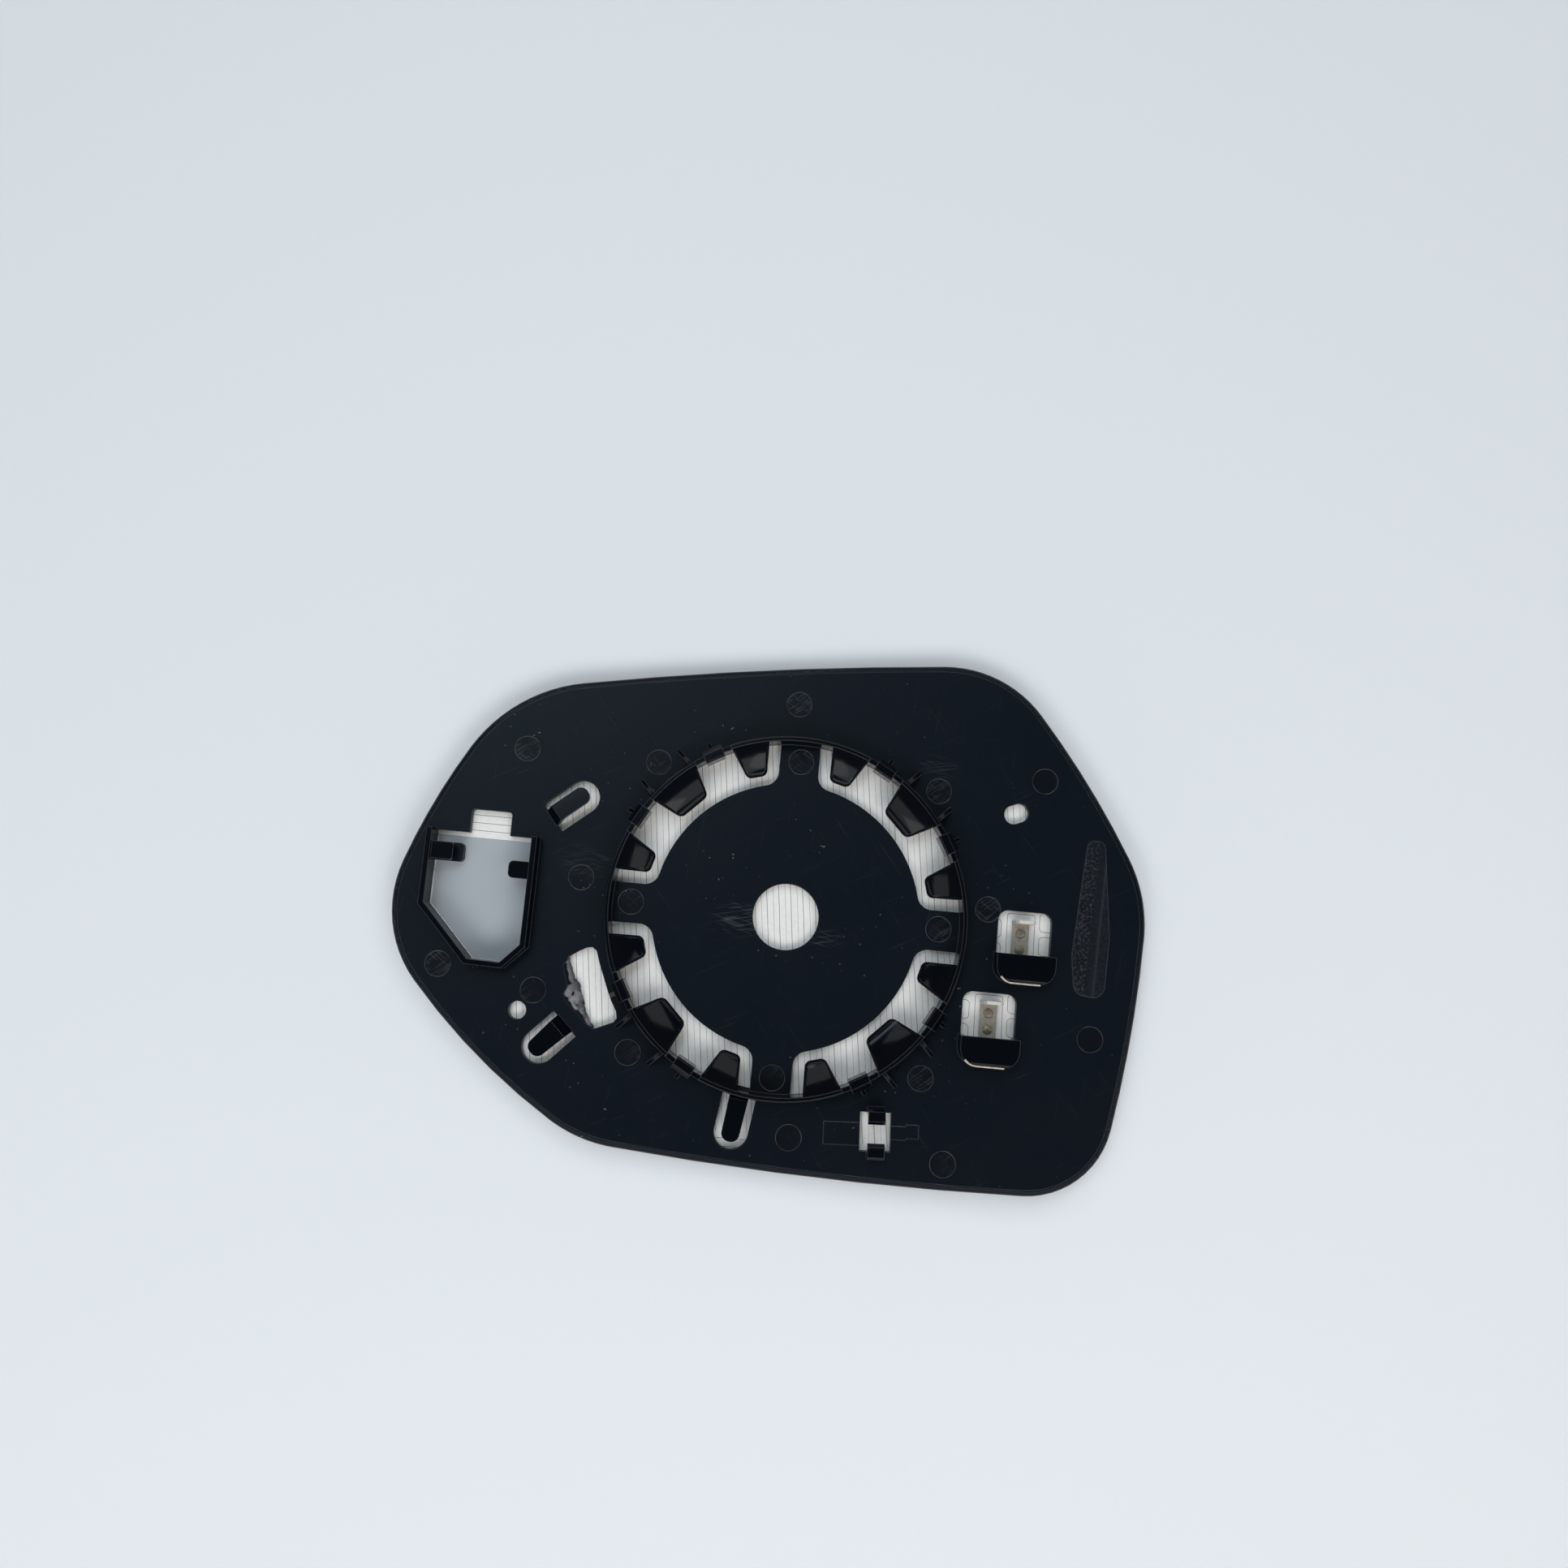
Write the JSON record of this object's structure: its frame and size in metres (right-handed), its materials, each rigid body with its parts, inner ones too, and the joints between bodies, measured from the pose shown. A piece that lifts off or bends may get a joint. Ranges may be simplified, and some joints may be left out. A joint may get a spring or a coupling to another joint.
{
  "type": "car door mirror glass",
  "caption": "Heated convex mirror glass for a car door mirror, bonded to a black moulded backing plate with a snap-in clip ring, heater terminals and a lamp module pocket.",
  "frame": {"origin": "middle of the centre hole in the backing plate, on the clip ring's axis", "axes": "+Z along the clip ring's axis out of the back of the plate, towards the mirror's drive; +X towards the door end; +Y towards the upper edge"},
  "size_m": [0.1834, 0.1273, 0.0125],
  "materials": {
    "plate_plastic": "satin black moulded plastic, glossy on the hooks",
    "mirror": "first surface bright, grey coated back",
    "foil": "etched heater foil with fine dark lines",
    "tin": "tin-plated sheet"
  },
  "bodies": {
    "root": {"backing_plate": "plate_plastic", "mirror_glass": "mirror", "heater_foil": "foil", "upper_terminal": "tin", "lower_terminal": "tin", "upper_rivet_front": "tin", "upper_rivet_rear": "tin", "lower_rivet_front": "tin", "lower_rivet_rear": "tin"}
  },
  "joints": []
}
